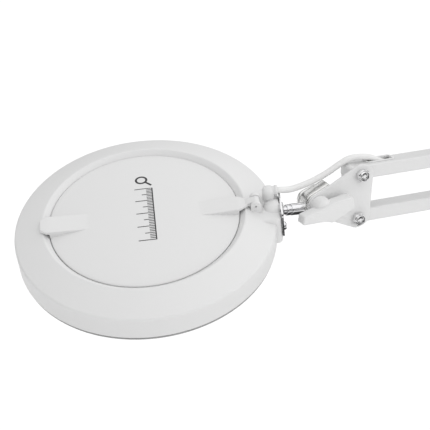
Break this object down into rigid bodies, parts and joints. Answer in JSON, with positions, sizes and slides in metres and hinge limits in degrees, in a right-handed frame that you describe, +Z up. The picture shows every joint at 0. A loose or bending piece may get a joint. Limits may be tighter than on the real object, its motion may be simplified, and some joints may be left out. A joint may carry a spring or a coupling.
{
  "type": "magnifying lamp",
  "caption": "Ring-light magnifying lamp with a covered round lens on a ball-jointed stem, two parallelogram arms and a table clamp.",
  "frame": {"origin": "middle of the clamp's upper pad, on the face that rests on the table top, under the post's axis", "axes": "+Z up along the post; the arms move in the XZ plane at rest; -X towards the head; +Y to the back of the arms"},
  "size_m": [0.7336, 0.2208, 0.6911],
  "materials": {
    "white_paint": "satin",
    "white_moulding": "satin",
    "chrome": "polished",
    "zinc_steel": "satin",
    "cast_zinc": "satin",
    "lens_glass": "clear",
    "diffuser": "frosted",
    "circuit_board": "satin",
    "led": "satin",
    "black_rubber": "matte",
    "lead_jacket": "satin",
    "nylon": "satin",
    "spring_steel": "satin"
  },
  "bodies": {
    "clamp": {"clamp_frame": "white_paint", "jaw_pad": "black_rubber"},
    "clamp_foot": {"clamp_foot": "zinc_steel", "clamp_foot_pad": "black_rubber"},
    "clamp_screw": {"clamp_screw": "zinc_steel"},
    "clamp_handle": {"clamp_handle": "zinc_steel"},
    "post_lock": {"post_screw": "zinc_steel", "post_screw_grip": "white_moulding"},
    "post": {"base_post": "chrome", "base_block": "white_paint", "base_block_screws": "chrome", "base_front_plate": "white_paint", "base_back_plate": "white_paint", "base_bolts": "chrome", "base_lock_nuts": "chrome"},
    "lower_front": {"lower_front_bar": "white_paint", "lower_front_bar_caps": "white_moulding", "lower_arm_spring": "spring_steel"},
    "lower_rear": {"lower_rear_bar": "white_paint", "lower_rear_bar_caps": "white_moulding", "rear_bar_grommets": "white_moulding", "lower_arm_lead": "lead_jacket"},
    "elbow": {"elbow_front_plate": "white_paint", "elbow_back_plate": "white_paint", "elbow_bolts": "chrome", "elbow_lock_nuts": "chrome", "elbow_spacer": "zinc_steel", "elbow_lead": "lead_jacket"},
    "upper_top": {"upper_top_bar": "white_paint", "upper_top_bar_caps": "white_moulding", "top_bar_grommets": "white_moulding", "upper_arm_lead": "lead_jacket"},
    "upper_bottom": {"upper_bottom_bar": "white_paint", "upper_bottom_bar_caps": "white_moulding", "upper_arm_spring": "spring_steel"},
    "head_bracket": {"head_bracket_plate": "white_paint", "head_bracket_strap": "white_paint", "head_pivot_bolts": "chrome", "head_lock_nuts": "chrome", "knuckle_bolt": "chrome", "head_lead": "lead_jacket"},
    "wing_knob": {"wing_knob": "white_moulding"},
    "knuckle": {"knuckle_block": "cast_zinc", "knuckle_clamp_disc": "cast_zinc", "knuckle_washer": "zinc_steel", "stem": "chrome"},
    "ball_seat": {"ball_seat": "nylon"},
    "head": {"head_housing": "white_moulding", "ball_plate": "zinc_steel", "ball_plate_screws": "chrome", "cover_hinge_pin": "zinc_steel", "lens": "lens_glass", "lens_retainer": "white_moulding", "diffuser_ring": "diffuser", "bottom_bezel": "white_moulding", "led_board": "circuit_board", "led_chips": "led", "led_driver": "circuit_board", "strain_relief": "lead_jacket"},
    "lens_cover": {"lens_cover": "white_moulding"}
  },
  "joints": [
    {"name": "clamp_travel", "type": "slide", "parent": "clamp", "child": "clamp_foot", "axis": [0, 0, 1], "range_m": [0, 0.04]},
    {"name": "clamp_screw_turn", "type": "hinge", "parent": "clamp_foot", "child": "clamp_screw", "pos_m": [-0.012, 0, -0.06], "axis": [0, 0, 1], "continuous": true},
    {"name": "handle_slide", "type": "slide", "parent": "clamp_screw", "child": "clamp_handle", "axis": [0, 1, 0], "range_m": [-0.02, 0.02]},
    {"name": "post_lock_turn", "type": "hinge", "parent": "clamp", "child": "post_lock", "pos_m": [0, -0.02, 0.032], "axis": [0, -1, 0], "range_deg": [-180, 180]},
    {"name": "post_swivel", "type": "hinge", "parent": "clamp", "child": "post", "pos_m": [0, 0, 0.044], "axis": [0, 0, 1], "range_deg": [-180, 180]},
    {"name": "lower_arm_pitch", "type": "hinge", "parent": "post", "child": "lower_rear", "pos_m": [0.02, 0, 0.095], "axis": [0, 1, 0], "range_deg": [-45, 20], "deforming": ["elbow_lead"]},
    {"name": "lower_front_pitch", "type": "hinge", "parent": "post", "child": "lower_front", "pos_m": [-0.02, 0, 0.095], "axis": [0, 1, 0], "range_deg": [-45, 20]},
    {"name": "elbow_level", "type": "hinge", "parent": "lower_rear", "child": "elbow", "pos_m": [0.15681, 0, 0.47088], "axis": [0, 1, 0], "range_deg": [-20, 45], "deforming": ["elbow_lead"]},
    {"name": "upper_arm_pitch", "type": "hinge", "parent": "elbow", "child": "upper_top", "pos_m": [0.13976, 0, 0.54798], "axis": [0, 1, 0], "range_deg": [-25, 50], "deforming": ["elbow_lead"]},
    {"name": "upper_bottom_pitch", "type": "hinge", "parent": "elbow", "child": "upper_bottom", "pos_m": [0.13681, 0, 0.50788], "axis": [0, 1, 0], "range_deg": [-25, 50]},
    {"name": "head_level", "type": "hinge", "parent": "upper_top", "child": "head_bracket", "pos_m": [-0.26002, 0, 0.56124], "axis": [0, 1, 0], "range_deg": [-50, 25], "deforming": ["head_lead"]},
    {"name": "wing_knob_turn", "type": "hinge", "parent": "head_bracket", "child": "wing_knob", "pos_m": [-0.30182, 0, 0.54024], "axis": [0, -1, 0], "range_deg": [-180, 180]},
    {"name": "head_tilt", "type": "hinge", "parent": "head_bracket", "child": "knuckle", "pos_m": [-0.30182, 0, 0.54024], "axis": [0, 1, 0], "range_deg": [-70, 50], "deforming": ["head_lead"]},
    {"name": "ball_swing", "type": "hinge", "parent": "knuckle", "child": "ball_seat", "pos_m": [-0.33959, 0, 0.53811], "axis": [-0.0767, -0.4003, -0.9132], "range_deg": [-34, 3], "deforming": ["head_lead"]},
    {"name": "head_roll", "type": "hinge", "parent": "ball_seat", "child": "head", "pos_m": [-0.33959, 0, 0.53811], "axis": [0.9093, -0.4039, 0.1007], "range_deg": [-80, 80], "deforming": ["head_lead"]},
    {"name": "cover_hinge", "type": "hinge", "parent": "head", "child": "lens_cover", "pos_m": [-0.35651, 0.00244, 0.54972], "axis": [0.3525, 0.8758, 0.3297], "range_deg": [0, 105]}
  ],
  "couplings": [
    {"joint": "lower_front_pitch", "follows": "lower_arm_pitch", "ratio": 1},
    {"joint": "elbow_level", "follows": "lower_arm_pitch", "ratio": -1},
    {"joint": "upper_bottom_pitch", "follows": "upper_arm_pitch", "ratio": 1},
    {"joint": "head_level", "follows": "upper_arm_pitch", "ratio": -1}
  ]
}
